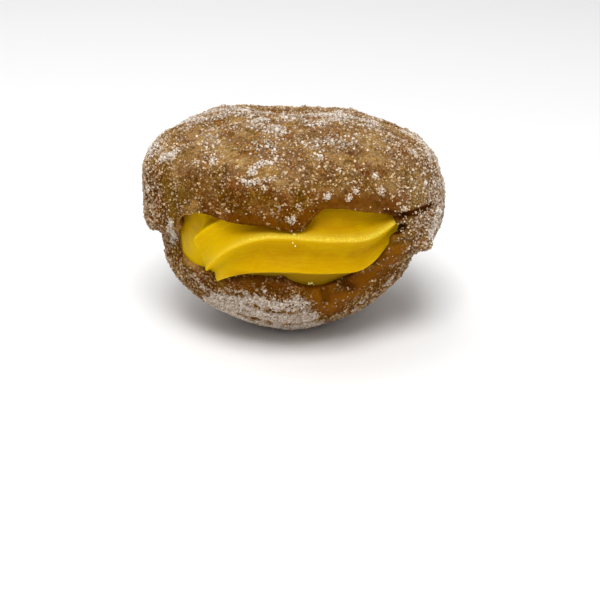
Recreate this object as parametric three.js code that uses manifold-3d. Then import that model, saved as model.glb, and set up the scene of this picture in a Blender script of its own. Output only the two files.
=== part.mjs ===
// A sugared berliner: a round fried bun, slit at the front and piped full of egg cream through a star nozzle.
// Millimetres, +Z up, +Y towards the uncut back. The origin is on the table, under the bun's middle.
import * as THREE from "three";
import { mergeVertices } from "three/addons/utils/BufferGeometryUtils.js";
import Module from "manifold-3d";

const wasm = await Module();
wasm.setup();

const DEGREE = Math.PI / 180;

// The upper half of the bun, a plump cap that overhangs the lower half. Its dome and its underside each
// have a height and a power, from round at 2 to square, that change towards the right and the back.
const CAP = {
  width: 96,
  depth: 90,
  middleY: 0.6,
  rimHeight: 40.5,
  forwardLift: Math.tan(6 * DEGREE),
  dome: { height: 29, right: -0.4, back: 0, power: 3, powerRight: -0.5, powerBack: 0 },
  under: { height: 18.5, right: 3.6, back: 1.2, power: 3.9, powerRight: -1.3, powerBack: -0.9 },
  lumps: [
    { waves: 3, share: 0.012, turn: 0.9 },
    { waves: 5, share: 0.007, turn: 2.2 },
  ],
  columns: 58,
  rows: 32,
};

// The cap's lower edge rises beside the slit's left end, where the lower half stands up round the cream
const EDGE_RISE = { angle: -140 * DEGREE, spread: 0.4, up: 9.5 };

// Dents that frying left in the crown, each a soft hollow
const CROWN_DENTS = [
  { x: 1, y: 16, radius: 13, deep: 4.2 },
  { x: 28, y: 3, radius: 16, deep: 1.4 },
  { x: -38, y: 8, radius: 8, deep: 1.7 },
];

// The lower half of the bun, a bowl that stands on a small flat spot
const BOWL = {
  width: 80.2,
  depth: 81,
  middleX: -1.6,
  middleY: 0.4,
  rimHeight: 26,
  bottom: { height: 28.5, power: 1.64 },
  top: { height: 21, power: 4 },
  lumps: [
    { waves: 2, share: 0.012, turn: 0.4 },
    { waves: 5, share: 0.01, turn: 1.3 },
  ],
  columns: 52,
  rows: 28,
};

// The slit: a pocket with a round left end, squarer below than above, and a tapering right end. Its middle
// line rises to the right.
const SLIT = {
  frontY: -44,
  middleZ: 36,
  slope: 0.1,
  smile: 0.0051,
  left: 36,
  right: 31.5,
  leftPower: { above: 4.6, below: 14 },
  rightPower: 2.2,
  reach: 50,
  columns: 36,
  rows: 30,
};

// The upper lip hangs lower from the left, ends in a droop, and steps up to an arch that falls to the right.
// Each change has the place where it starts, the length that it takes and its height.
const UPPER_LIP = {
  left: 14.6,
  hang: { start: -38, over: 22, by: 3.6 },
  droop: { start: -10, over: 12, by: 2.1 },
  step: { start: 1.5, over: 8.5 },
  right: 15,
  fall: { start: 8, over: 22, by: 5.4 },
};

// The lower lip rises close under the cream on the left, and drops past a step near the middle
const LOWER_LIP = {
  left: { deep: 5.4, bow: 0.0148, middle: -9 },
  step: { start: -5, over: 13 },
  right: { deep: 11.4, bow: 0.0066, middle: 0 },
};

// Tears at the slit's right end: a long one that runs on along the crust and a short one under the tip
const TEARS = [
  { place: [36, -27.6, 45.8], turn: 47 * DEGREE, half: [8, 3, 0.8] },
  { place: [30.6, -33, 42.2], turn: 44 * DEGREE, half: [3.4, 6, 1.5] },
];
const TEAR_COLUMNS = 16;
const TEAR_ROWS = 8;

// The rope of cream, piped along the mouth of the slit from a torn left end to a leaf tip on the right.
// Its crests run level across the middle and wind down round the rope at the left end, where the front
// crest bunches up with the one below it and is tucked in behind the lower lip.
const ROPE = {
  arcRadius: 32.6,
  leftAngle: -41.3 * DEGREE,
  rightAngle: 47.5 * DEGREE,
  height: 38.1,
  leftDrop: 2.3,
  tipLift: { by: 7.6, power: 2.4 },
  tipOut: { by: 8.6, power: 4 },
  crests: 8,
  crestRadius: 13.9,
  fluteDepth: 2.8,
  crestAngle: 24 * DEGREE,
  leftTwist: { from: 0.42, power: 2.35, turn: -53 * DEGREE },
  rightTwist: { from: 0.46, turn: -19 * DEGREE },
  taperFrom: 0.71,
  tipShare: 0.1,
  tuck: { by: 0.15, from: 0.12 },
  bunch: { from: 0.36, power: 1.5, turn: -16 * DEGREE },
  frontWidth: 0.45,
  sectionSteps: 48,
  lengthSteps: 30,
};

// The cream behind the rope fills the slit out to an upright round front
const FILLING = { middleX: -1.5, halfWidth: 40, halfDepth: 38, low: 10, high: 66, columns: 40 };

// Clearance between the cream and the dough around it
const GAP = 0.3;

// Clumps of granulated sugar that stuck to the fried crust, flat pebbles sunk into it
const CLUMPS = { places: 330, seed: 7, smallest: 1.1, largest: 2.5, wide: 0.7, flat: 0.42, sunk: 0.25 };
// Clumps stay this far above the table and from the slit, and lie on the bowl below the seam's rise
const CLUMP_CLEAR = { table: 3.5, slit: 2, seam: -0.15 };
// Share of the places that keep a clump: some everywhere, more low on the bowl and round the cap's sides
const SUGAR = {
  everywhere: 0.28,
  low: { more: 0.5, from: 4, over: 16 },
  side: { more: 0.35, from: 24, over: 20 },
};

// A repeatable series of numbers from 0 to 1
function seededDraws(seed) {
  let state = seed >>> 0;
  return () => {
    state = (Math.imul(state, 1664525) + 1013904223) >>> 0;
    return state / 2 ** 32;
  };
}

const signedPower = (value, power) => Math.sign(value) * Math.abs(value) ** power;
// Share of the way from a start to 1, none before the start
const pastShare = (value, start) => Math.max(0, (value - start) / (1 - start));
const smooth = (value) => THREE.MathUtils.smoothstep(value, 0, 1);

// Height that the crown's dents take off the dome at a place seen from above
function dentAt(x, y) {
  return CROWN_DENTS.reduce((sum, dent) => {
    const distance = Math.hypot(x - dent.x, y - dent.y) / dent.radius;
    return sum + dent.deep * Math.exp(-distance * distance);
  }, 0);
}

// How far the crust's lumps swell or shrink a half of the bun in a direction seen from above
function lumpShare(lumps, angle) {
  return lumps.reduce((sum, lump) => sum + lump.share * Math.cos(lump.waves * angle + lump.turn), 1);
}

// Height by which the cap's lower edge is raised in a direction seen from above
function edgeRise(angle) {
  return EDGE_RISE.up * Math.exp((Math.cos(angle - EDGE_RISE.angle) - 1) / EDGE_RISE.spread ** 2);
}

// A half of the bun is a cushion: an ellipse seen from above, with rounded power curves above and below
// its rim. direction is a point of the unit sphere, and grow moves the surface outwards.
function capPoint(direction, grow = 0) {
  const round = Math.hypot(direction.x, direction.y);
  const angle = Math.atan2(direction.y, direction.x);
  const right = round * Math.cos(angle);
  const back = round * Math.sin(angle);
  const half = direction.z > 0 ? CAP.dome : CAP.under;
  const power = 2 / (half.power + half.powerRight * right + half.powerBack * back);
  const out = round ** power * lumpShare(CAP.lumps, angle);
  const x = out * (CAP.width / 2 + grow) * Math.cos(angle);
  const y = out * (CAP.depth / 2 + grow) * Math.sin(angle);
  const less = direction.z > 0 ? dentAt(x, y) : edgeRise(angle) * round;
  const tall = half.height + half.right * right + half.back * back - less + grow;
  const z = CAP.rimHeight - CAP.forwardLift * y + signedPower(direction.z, power) * tall;
  return new THREE.Vector3(x, y + CAP.middleY, z);
}

function bowlPoint(direction, grow = 0) {
  const round = Math.hypot(direction.x, direction.y);
  const angle = Math.atan2(direction.y, direction.x);
  const half = direction.z > 0 ? BOWL.top : BOWL.bottom;
  const power = 2 / half.power;
  const out = round ** power * lumpShare(BOWL.lumps, angle);
  const x = out * (BOWL.width / 2 + grow) * Math.cos(angle);
  const y = out * (BOWL.depth / 2 + grow) * Math.sin(angle);
  const z = BOWL.rimHeight + signedPower(direction.z, power) * (half.height + grow);
  return new THREE.Vector3(x + BOWL.middleX, y + BOWL.middleY, Math.max(z, -grow));
}

// Height of the slit's middle line
function slitMiddle(x) {
  return SLIT.middleZ + SLIT.slope * x + SLIT.smile * x * x;
}

// Share of the way across a stretch that has a start and a length
const eased = (x, stretch) => smooth((x - stretch.start) / stretch.over);
const bowed = (x, lip) => lip.deep + lip.bow * (x - lip.middle) ** 2;

// Height of the slit above or below its middle line, where it is highest
function slitHeight(x, above) {
  const { lerp } = THREE.MathUtils;
  if (!above) return lerp(bowed(x, LOWER_LIP.left), bowed(x, LOWER_LIP.right), eased(x, LOWER_LIP.step));
  const { hang, droop, fall } = UPPER_LIP;
  const left = UPPER_LIP.left - hang.by * eased(x, hang) - droop.by * eased(x, droop);
  const right = UPPER_LIP.right - fall.by * eased(x, fall);
  return lerp(left, right, eased(x, UPPER_LIP.step));
}

// The slit is made of upright slices across its length, which shrink to nothing at its two ends
function slitPoint(direction, grow = 0) {
  const upright = new THREE.Vector2(direction.x, direction.y).normalize();
  const leftwards = direction.z < 0;
  const { above, below } = SLIT.leftPower;
  const power = leftwards ? THREE.MathUtils.mapLinear(upright.y, -1, 1, below, above) : SLIT.rightPower;
  const share = Math.sqrt(1 - Math.min(1, Math.abs(direction.z)) ** power);
  const x = direction.z * ((leftwards ? SLIT.left : SLIT.right) + grow);
  const y = SLIT.frontY + share * upright.x * (SLIT.reach + grow);
  const tall = slitHeight(x, upright.y > 0) + grow;
  return new THREE.Vector3(x, y, slitMiddle(x) + share * upright.y * tall);
}

function tearPoint(tear, direction, grow = 0) {
  const size = new THREE.Vector3(...tear.half).addScalar(grow);
  const point = direction.clone().multiply(size).applyAxisAngle(new THREE.Vector3(0, 0, 1), tear.turn);
  return point.add(new THREE.Vector3(...tear.place));
}

// The nozzle's star: sharp crests with round flutes between them
function starRadius(angle) {
  return ROPE.crestRadius - ROPE.fluteDepth * Math.abs(Math.sin((ROPE.crests * angle) / 2));
}

// along runs from 0 at the rope's left end to 1 at its tip, starAngle goes round the star from one of its
// crests, and out is 0 on the rope's axis and 1 on its surface
function ropePoint(along, starAngle, out) {
  const bearing = THREE.MathUtils.lerp(ROPE.leftAngle, ROPE.rightAngle, along);
  const winding = pastShare(1 - along, 1 - ROPE.leftTwist.from) ** ROPE.leftTwist.power;
  const leaning = pastShare(along, ROPE.rightTwist.from);
  const taper = pastShare(along, ROPE.taperFrom);
  const turn = ROPE.crestAngle + ROPE.leftTwist.turn * winding + ROPE.rightTwist.turn * leaning;
  const front = Math.exp(-((starAngle / ROPE.frontWidth) ** 2));
  const bunched = pastShare(1 - along, 1 - ROPE.bunch.from) ** ROPE.bunch.power;
  const angle = starAngle + turn + ROPE.bunch.turn * bunched * front;
  const share = ROPE.tipShare + (1 - ROPE.tipShare) * Math.sqrt(1 - taper ** 2);
  const tucked = ROPE.tuck.by * pastShare(1 - along, 1 - ROPE.tuck.from) * front;
  const radius = out * share * starRadius(starAngle) * (1 - tucked);
  const tipOut = ROPE.tipOut.by * taper ** ROPE.tipOut.power;
  const tipLift = ROPE.tipLift.by * taper ** ROPE.tipLift.power;
  const fromMiddle = ROPE.arcRadius + tipOut + radius * Math.cos(angle);
  const height = ROPE.height - ROPE.leftDrop * winding + tipLift;
  return new THREE.Vector3(
    fromMiddle * Math.sin(bearing),
    -fromMiddle * Math.cos(bearing),
    height + radius * Math.sin(angle),
  );
}

// Moves every point of a geometry by a function of the point
function moved(geometry, place) {
  const points = geometry.getAttribute("position");
  const point = new THREE.Vector3();
  for (let i = 0; i < points.count; i += 1) {
    const to = place(point.fromBufferAttribute(points, i));
    points.setXYZ(i, to.x, to.y, to.z);
  }
  return geometry;
}

function solidOf(geometry) {
  geometry.deleteAttribute("normal");
  geometry.deleteAttribute("uv");
  const merged = mergeVertices(geometry, 1e-4);
  return new wasm.Manifold(
    new wasm.Mesh({
      numProp: 3,
      vertProperties: merged.getAttribute("position").array,
      triVerts: new Uint32Array(merged.index.array),
    }),
  );
}

function geometryOf(solid) {
  const mesh = solid.getMesh();
  const geometry = new THREE.BufferGeometry();
  geometry.setAttribute("position", new THREE.BufferAttribute(mesh.vertProperties, 3));
  geometry.setIndex(new THREE.BufferAttribute(mesh.triVerts, 1));
  geometry.computeVertexNormals();
  return geometry;
}

// A closed solid whose surface a function gives for each direction
function ballSolid(place, columns, rows, grow) {
  const sphere = new THREE.SphereGeometry(1, columns, rows).rotateX(Math.PI / 2);
  return solidOf(moved(sphere, (direction) => place(direction, grow)));
}

// The bun without its slit and tears, and what is cut out of it. grow swells the dough into the cuts.
function bunSolids(grow) {
  const cap = ballSolid(capPoint, CAP.columns, CAP.rows, grow);
  const bowl = ballSolid(bowlPoint, BOWL.columns, BOWL.rows, grow);
  const slit = ballSolid(slitPoint, SLIT.columns, SLIT.rows, -grow);
  const tears = TEARS.map((tear) =>
    ballSolid((direction) => tearPoint(tear, direction), TEAR_COLUMNS, TEAR_ROWS),
  );
  return { whole: cap.add(bowl), slit, cuts: [slit, ...tears] };
}

function ropeSolid() {
  const bar = new THREE.CylinderGeometry(1, 1, 1, ROPE.sectionSteps, ROPE.lengthSteps);
  return solidOf(
    moved(bar, (point) =>
      ropePoint(point.y + 0.5, Math.atan2(-point.x, point.z), Math.hypot(point.x, point.z)),
    ),
  );
}

// How likely a clump is to stick at a place
function sugarShare(point) {
  const low = 1 - smooth((point.z - SUGAR.low.from) / SUGAR.low.over);
  const side = smooth((Math.abs(point.x) - SUGAR.side.from) / SUGAR.side.over);
  return SUGAR.everywhere + SUGAR.low.more * low + SUGAR.side.more * side;
}

// True where a clump of that reach would touch the cream or hang in the slit
function nearSlit(point, reach) {
  const wide = (point.x < 0 ? SLIT.left : SLIT.right) + reach;
  const above = point.z - slitMiddle(point.x);
  const tall = slitHeight(point.x, above > 0) + reach;
  return point.y < SLIT.frontY + SLIT.reach && Math.abs(point.x) < wide && Math.abs(above) < tall;
}

// Outward normal of a half of the bun
function normalAt(place, direction) {
  const step = 1e-3;
  const east = new THREE.Vector3(-direction.y, direction.x, 0).normalize();
  const north = direction.clone().cross(east);
  const point = place(direction);
  const eastward = place(direction.clone().addScaledVector(east, step).normalize()).sub(point);
  const northward = place(direction.clone().addScaledVector(north, step).normalize()).sub(point);
  return eastward.cross(northward).normalize();
}

// Places spread evenly over the bun by the golden angle, thinned by how well sugar sticks there
function clumpSolids() {
  const draw = seededDraws(CLUMPS.seed);
  const goldenAngle = Math.PI * (3 - Math.sqrt(5));
  const up = new THREE.Vector3(0, 0, 1);
  const clumps = [];
  for (let i = 0; i < CLUMPS.places; i += 1) {
    const rise = 1 - (2 * (i + 0.5)) / CLUMPS.places;
    const level = Math.sqrt(1 - rise * rise);
    const direction = new THREE.Vector3(
      level * Math.cos(i * goldenAngle),
      level * Math.sin(i * goldenAngle),
      rise,
    );
    const size = THREE.MathUtils.lerp(CLUMPS.smallest, CLUMPS.largest, draw());
    const stickiness = draw();
    const spin = new THREE.Quaternion().setFromAxisAngle(up, draw() * Math.PI);
    const place = rise > CLUMP_CLEAR.seam ? capPoint : bowlPoint;
    const point = place(direction);
    const bare = stickiness > sugarShare(point) || point.z < CLUMP_CLEAR.table;
    if (bare || nearSlit(point, size + CLUMP_CLEAR.slit)) continue;
    const normal = normalAt(place, direction);
    const lie = new THREE.Quaternion().setFromUnitVectors(up, normal).multiply(spin);
    const shape = new THREE.Vector3(1, CLUMPS.wide, CLUMPS.flat).multiplyScalar(size);
    point.addScaledVector(normal, -CLUMPS.sunk * shape.z);
    const pebble = new THREE.IcosahedronGeometry(1, 0);
    clumps.push(solidOf(pebble.applyMatrix4(new THREE.Matrix4().compose(point, lie, shape))));
  }
  return clumps;
}

function fillingSolid() {
  const { middleX, halfWidth, halfDepth, low, high, columns } = FILLING;
  const block = new THREE.CylinderGeometry(1, 1, high - low, columns).rotateX(Math.PI / 2);
  return solidOf(block.scale(halfWidth, halfDepth, 1).translate(middleX, 0, (low + high) / 2));
}

const snug = bunSolids(0);
const roomy = bunSolids(GAP);

const dough = snug.cuts.reduce((rest, cut) => rest.subtract(cut), snug.whole);
const bun = clumpSolids().reduce((sum, clump) => sum.add(clump), dough);

const core = roomy.slit.intersect(fillingSolid());
const cream = ropeSolid().subtract(roomy.whole.subtract(roomy.slit)).add(core);

function mesh(name, solid, look) {
  const made = new THREE.Mesh(geometryOf(solid), new THREE.MeshStandardMaterial(look));
  made.name = name;
  return made;
}

const berliner = new THREE.Group();
berliner.add(mesh("bun", bun, { color: 0x9a6428, roughness: 0.75, metalness: 0 }));
berliner.add(mesh("cream", cream, { color: 0xe8b40c, roughness: 0.3, metalness: 0 }));

export default berliner;
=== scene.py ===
import math

import bmesh
import bpy
import numpy as np
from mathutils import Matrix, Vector, noise
from mathutils.bvhtree import BVHTree


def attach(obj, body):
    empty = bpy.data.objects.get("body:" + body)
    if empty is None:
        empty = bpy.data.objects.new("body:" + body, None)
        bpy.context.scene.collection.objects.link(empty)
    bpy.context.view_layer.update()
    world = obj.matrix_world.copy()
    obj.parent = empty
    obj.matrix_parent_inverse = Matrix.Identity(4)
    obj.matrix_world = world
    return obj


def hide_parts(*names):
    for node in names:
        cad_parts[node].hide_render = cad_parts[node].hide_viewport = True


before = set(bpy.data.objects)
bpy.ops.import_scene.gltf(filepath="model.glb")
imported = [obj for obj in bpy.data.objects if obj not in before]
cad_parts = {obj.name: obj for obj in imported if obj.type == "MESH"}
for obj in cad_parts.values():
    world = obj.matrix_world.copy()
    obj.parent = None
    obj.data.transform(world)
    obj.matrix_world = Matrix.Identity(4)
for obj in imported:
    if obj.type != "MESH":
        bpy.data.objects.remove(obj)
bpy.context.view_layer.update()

# The camera. It looks down at the slit from in front of the bun, and it comes first because marks on the
# crust are placed where the photograph shows them, by pixels of its 600 by 600 frame.
MM = 0.001
IMAGE_PX = 600
FOCAL_PX = 1550
BUN_OFF_CENTRE_PX = (-6.5, -84)
VIEW_DOWN = math.radians(20)
VIEW_DISTANCE = 500 * MM
VIEW_AIM = Vector((0, 0, 34.3 * MM))

scene = bpy.context.scene
scene.view_settings.view_transform = "Standard"
camera_data = bpy.data.cameras.new("camera")
camera_data.lens = camera_data.sensor_width * FOCAL_PX / IMAGE_PX
camera = bpy.data.objects.new("camera", camera_data)
camera.location = VIEW_AIM + VIEW_DISTANCE * Vector((0, -math.cos(VIEW_DOWN), math.sin(VIEW_DOWN)))
camera.rotation_euler = (
    math.pi / 2 - VIEW_DOWN + math.atan(BUN_OFF_CENTRE_PX[1] / FOCAL_PX),
    0,
    math.atan(BUN_OFF_CENTRE_PX[0] / FOCAL_PX),
)
scene.collection.objects.link(camera)
scene.camera = camera


def seen_at(pixel, surface):
    """The point of a surface, in millimetres, that the photograph shows at a pixel, or the nearest one."""
    middle = IMAGE_PX / 2
    sight = Vector(((pixel[0] - middle) / FOCAL_PX, (middle - pixel[1]) / FOCAL_PX, -1))
    sight.rotate(camera.rotation_euler)
    met = surface.ray_cast(camera.location, sight)[0]
    met = met or surface.find_nearest(camera.location + sight * VIEW_DISTANCE)[0]
    return np.array(met) / MM


# The bun. A ball of yeast dough is fried on both sides, so it browns all over, and then slit from the front.
# The upper half has puffed out over the lower half and droops over the filling as an oily lip.
CAP = dict(
    width=96, depth=90, middle_y=0.6, rim_height=40.5, forward_lift=math.tan(math.radians(6)),
    dome=dict(height=29, right=-0.4, back=0, power=3, power_right=-0.5, power_back=0),
    under=dict(height=18.5, right=3.6, back=1.2, power=3.9, power_right=-1.3, power_back=-0.9),
    lumps=[(3, 0.012, 0.9), (5, 0.007, 2.2)],
)
BOWL = dict(
    width=80.2, depth=81, middle_x=-1.6, middle_y=0.4, rim_height=26,
    bottom=dict(height=28.5, power=1.64), top=dict(height=21, power=4),
    lumps=[(2, 0.012, 0.4), (5, 0.01, 1.3)],
)
EDGE_RISE = dict(angle=math.radians(-140), spread=0.4, up=9.5)
CROWN_DENTS = [
    dict(x=1, y=16, radius=13, deep=4.2),
    dict(x=28, y=3, radius=16, deep=1.4),
    dict(x=-38, y=8, radius=8, deep=1.7),
]
SLIT = dict(
    front_y=-44, middle_z=36, slope=0.1, smile=0.0051, left=36, right=31.5, left_power_above=4.6,
    left_power_below=14, right_power=2.2, reach=50, ceiling=14.6,
)
# The upper lip hangs lower from the left, ends in a droop, and steps up to an arch that falls to the right
LIP_HANG = dict(start=-38, over=22, by=3.6)
LIP_DROOP = dict(start=-10, over=12, by=2.1)
LIP_STEP = dict(start=1.5, over=8.5)
LIP_ARCH = dict(ceiling=15, start=8, over=22, by=5.4)
# The lower lip rises close under the cream on the left, and drops past a step near the middle
LOWER_LIP = dict(left=5.4, left_bow=0.0148, left_middle=-9, right=11.4, right_bow=0.0066)
LOWER_STEP = dict(start=-5, over=13)
# Tears at the slit's right end: a long one that runs on along the crust and a short one under the cream's tip
TEARS = [
    dict(place=(36, -27.6, 45.8), turn=math.radians(47), half=(8, 3, 0.8)),
    dict(place=(30.6, -33, 42.2), turn=math.radians(44), half=(3.4, 6, 1.5)),
]
# The dough's even faces, the smoothing steps that round its lips, and the room left for sugar on its crust
DOUGH_GRAIN = 0.7
LIP_ROUNDING = 12
SUGAR_ROOM = 0.45
# Lumps of the fried crust: their size, height and place in the pattern
CRUST_LUMPS = [(17, 0.8, 3.1), (7, 0.5, 11.7), (2.4, 0.2, 5.3)]
# Lines in the photograph that fold the crust or carry painted shade. First the torn edge beside the cream's
# left end
FLAP = [(194, 204), (190, 209), (184, 217), (178, 226)]
# The gap under the upper lip, over the cream's right tip, and the shade before it
RIGHT_GAP = [(400, 215.5), (411, 216)]
LIP_SHADE = [(385, 211), (400, 214)]
# The pocket under the cream's right tip
TIP_POCKET = [(393, 231), (398, 227), (403, 224)]
# The lower lip's edge, which closes up to the cream on the left
LOWER_EDGE = [(226, 282), (240, 280), (262, 279.5), (283, 281)]
# The deepest wrinkle of the lower half, below the cream, and the dimple beside it
WRINKLE = [(324, 289), (326, 297), (327, 305)]
DARK_DIMPLE = [(345, 284), (353, 288)]
# Folds and wrinkles in the crust: the line that they follow in the photograph, their width and height
CRUST_FOLDS = [
    ([(156, 149), (186, 138), (214, 123), (240, 118)], 3, -1.3),
    (FLAP, 1, 1.5),
    ([(184, 262), (195, 268), (206, 272)], 1.4, 1.6),
    (RIGHT_GAP, 0.9, -1.6),
    ([(399, 221), (407, 219), (416, 214)], 1.1, 0.8),
    (TIP_POCKET, 0.9, -1.2),
    ([(420, 247), (425, 244)], 2.4, 2.6),
    ([(411, 251), (419, 251)], 1.2, -2.1),
    ([(155, 231), (161, 234)], 1.3, -1.3),
    ([(392, 238), (404, 234), (416, 233)], 1.1, 0.8),
    ([(394, 246), (404, 240), (414, 240)], 0.9, -0.9),
    ([(398, 254), (406, 247)], 1, 0.6),
    ([(350, 146), (372, 152), (394, 167)], 1.1, 0.7),
    ([(348, 151), (370, 157), (391, 171)], 1.2, -0.5),
    ([(168, 186), (169, 212)], 1.2, 0.5),
    ([(173, 184), (175, 214)], 1.1, -0.7),
    ([(179, 186), (181, 208)], 1.2, 0.5),
    ([(185, 190), (188, 206)], 1, -0.6),
    (LOWER_EDGE, 1.2, 1.7),
    (WRINKLE, 0.9, -2),
    ([(331, 293), (333, 312)], 0.9, 0.4),
    ([(337, 291), (341, 308)], 0.7, -0.5),
]
# Where the crust is oily and bare of sugar: lines in the photograph, the strip's width and how oily it is
OILY_STRIPS = [
    ([(205, 217), (232, 217), (262, 221), (292, 227), (318, 208)], 2.2, 1),
    ([(326, 203), (350, 201), (384, 205), (396, 206)], 3.6, 1),
    ([(226, 284), (250, 284), (280, 286)], 2, 1),
    ([(326, 289), (334, 310)], 5.2, 1),
    ([(340, 296), (344, 304)], 2.6, 1),
    ([(356, 283), (378, 270), (398, 252)], 4, 1),
    ([(205, 196), (250, 203), (296, 208)], 6, 0.35),
    ([(286, 176), (310, 184), (330, 188)], 6, 0.3),
]
# Where the bare dough of the lower half is golden: lines in the photograph, the strip's width and how golden
GOLDEN_STRIPS = [
    ([(320, 292), (332, 310)], 4, 0.75),
    ([(338, 300), (356, 292)], 3.4, 0.7),
    ([(360, 282), (380, 268), (398, 250)], 3.6, 0.65),
]
# Olive folds that hardly took any sugar: lines in the photograph, the strip's width and how bare it is
OLIVE_STRIPS = [
    ([(166, 186), (172, 210)], 3.2, 1),
    ([(181, 188), (188, 206)], 2.8, 0.9),
    ([(392, 240), (406, 234)], 2.4, 0.9),
    ([(401, 222), (411, 218)], 1.4, 0.7),
]
# Where the crust stayed paler: pixel, radius and how much. The spots on the right side are partly painted
# light.
PALE_SPOTS = [((376, 158), 12, 0.8), ((205, 152), 9, 0.5), ((404, 170), 15, 0.95), ((420, 196), 8, 0.8)]
# Where sugar lies thick: lines in the photograph, the width of the strip and how thick the sugar is
SUGAR_STRIPS = [
    ([(152, 150), (158, 136), (186, 120), (210, 109)], 3.5, 0.9),
    ([(408, 134), (428, 152), (440, 180), (440, 210), (428, 240)], 5, 0.75),
    ([(196, 280), (208, 292), (222, 301)], 2.6, 0.5),
    ([(222, 301), (238, 308), (258, 314), (284, 320), (306, 319)], 4.4, 1),
    ([(214, 303), (236, 316), (260, 324), (286, 328), (312, 325)], 4.2, 1),
    ([(236, 298), (266, 304), (304, 306)], 4.2, 0.62),
    ([(148, 170), (150, 200), (154, 226)], 3, 0.35),
    ([(171, 222), (172, 240)], 1.8, 1),
    ([(346, 312), (362, 303), (380, 290), (396, 274)], 1.4, 0.42),
]
# Clumps of sugar that stuck together: pixel, radius and height
SUGAR_CLUMPS = [
    ((163, 156), 2, 1), ((172, 153), 2.2, 1), ((178, 149), 1.4, 0.8), ((264, 188), 1, 0.9),
    ((283, 172), 1, 1), ((262, 120), 2.2, 0.9), ((275, 128), 2.6, 1), ((284, 132), 1.4, 0.8),
    ((320, 156), 1.3, 1), ((212, 160), 1.3, 0.8), ((223, 184), 1.2, 0.7), ((376, 175), 1.2, 1),
    ((382, 191), 1.4, 1), ((357, 190), 1.3, 1.1), ((350, 198), 1.1, 1), ((327, 197), 1.2, 1.1),
    ((316, 200), 0.9, 0.9), ((291, 220), 1.4, 1), ((280, 208), 0.9, 0.9), ((299, 206), 0.9, 0.8),
    ((196, 162), 1.1, 0.9), ((414, 152), 2.2, 0.9), ((425, 183), 1.4, 0.8), ((338, 170), 1.2, 0.7),
    ((322, 122), 1.8, 0.8), ((339, 117), 1.4, 0.8), ((304, 314), 2.6, 1.2), ((278, 323), 2, 1.1),
    ((290, 318), 1.8, 1), ((264, 290), 1.3, 0.8), ((296, 297), 1.2, 0.8), ((404, 209), 1.1, 0.9),
    ((362, 302), 1.2, 1), ((388, 284), 1, 1), ((404, 269), 1.5, 1), ((355, 309), 1.1, 0.9),
    ((338, 315), 0.8, 0.8), ((396, 277), 0.9, 0.8),
]
# Clumps that run on along a line: its pixels, the width and height
CLUMP_LINES = [
    ([(251, 173), (256, 167), (260, 162), (271, 164)], 1.2, 1.2),
    ([(242, 180), (248, 183), (262, 180), (276, 178)], 0.9, 1.2),
    ([(160, 160), (168, 154), (176, 150)], 1.3, 1.1),
]


def smooth(share):
    """Eases from 0 to 1 as share goes from 0 to 1."""
    held = np.clip(share, 0, 1)
    return held * held * (3 - 2 * held)


def ramp(value, start, end):
    """Eases from 0 where a value is at the start to 1 where it is at the end."""
    return smooth((value - start) / (end - start))


def signed_power(value, power):
    return np.sign(value) * np.abs(value) ** power


def lump_share(lumps, angle):
    return 1 + sum(share * np.cos(waves * angle + turn) for waves, share, turn in lumps)


def cap_points(direction):
    """The upper half's surface in each direction of the unit sphere."""
    level = np.hypot(direction[:, 0], direction[:, 1])
    angle = np.arctan2(direction[:, 1], direction[:, 0])
    right = level * np.cos(angle)
    back = level * np.sin(angle)
    above = direction[:, 2] > 0

    def half(key):
        return np.where(above, CAP["dome"][key], CAP["under"][key])

    power = 2 / (half("power") + half("power_right") * right + half("power_back") * back)
    out = level**power * lump_share(CAP["lumps"], angle)
    x = out * CAP["width"] / 2 * np.cos(angle)
    y = out * CAP["depth"] / 2 * np.sin(angle)
    dents = np.zeros(len(x))
    for dent in CROWN_DENTS:
        away = np.hypot(x - dent["x"], y - dent["y"]) / dent["radius"]
        dents += dent["deep"] * np.exp(-(away**2))
    rise = EDGE_RISE["up"] * np.exp((np.cos(angle - EDGE_RISE["angle"]) - 1) / EDGE_RISE["spread"] ** 2)
    tall = half("height") + half("right") * right + half("back") * back
    tall -= np.where(above, dents, rise * level)
    z = CAP["rim_height"] - CAP["forward_lift"] * y + signed_power(direction[:, 2], power) * tall
    return np.stack([x, y + CAP["middle_y"], z], axis=1)


def bowl_points(direction):
    """The lower half's surface in each direction of the unit sphere, flat where it rests."""
    level = np.hypot(direction[:, 0], direction[:, 1])
    angle = np.arctan2(direction[:, 1], direction[:, 0])
    above = direction[:, 2] > 0
    power = 2 / np.where(above, BOWL["top"]["power"], BOWL["bottom"]["power"])
    tall = np.where(above, BOWL["top"]["height"], BOWL["bottom"]["height"])
    out = level**power * lump_share(BOWL["lumps"], angle)
    x = out * BOWL["width"] / 2 * np.cos(angle) + BOWL["middle_x"]
    y = out * BOWL["depth"] / 2 * np.sin(angle) + BOWL["middle_y"]
    z = BOWL["rim_height"] + signed_power(direction[:, 2], power) * tall
    return np.stack([x, y, np.maximum(z, 0)], axis=1)


def slit_middle(x):
    return SLIT["middle_z"] + SLIT["slope"] * x + SLIT["smile"] * x * x


def eased(x, stretch):
    """Share of the way across a stretch that has a start and a length."""
    return smooth((x - stretch["start"]) / stretch["over"])


def slit_height(x, above):
    """How far the slit opens above or below its middle line."""
    lip = SLIT["ceiling"] - LIP_HANG["by"] * eased(x, LIP_HANG) - LIP_DROOP["by"] * eased(x, LIP_DROOP)
    arch = LIP_ARCH["ceiling"] - LIP_ARCH["by"] * eased(x, LIP_ARCH)
    ceiling = lip + (arch - lip) * eased(x, LIP_STEP)
    left = LOWER_LIP["left"] + LOWER_LIP["left_bow"] * (x - LOWER_LIP["left_middle"]) ** 2
    right = LOWER_LIP["right"] + LOWER_LIP["right_bow"] * x**2
    floor = left + (right - left) * eased(x, LOWER_STEP)
    return np.where(above, ceiling, floor)


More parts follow.
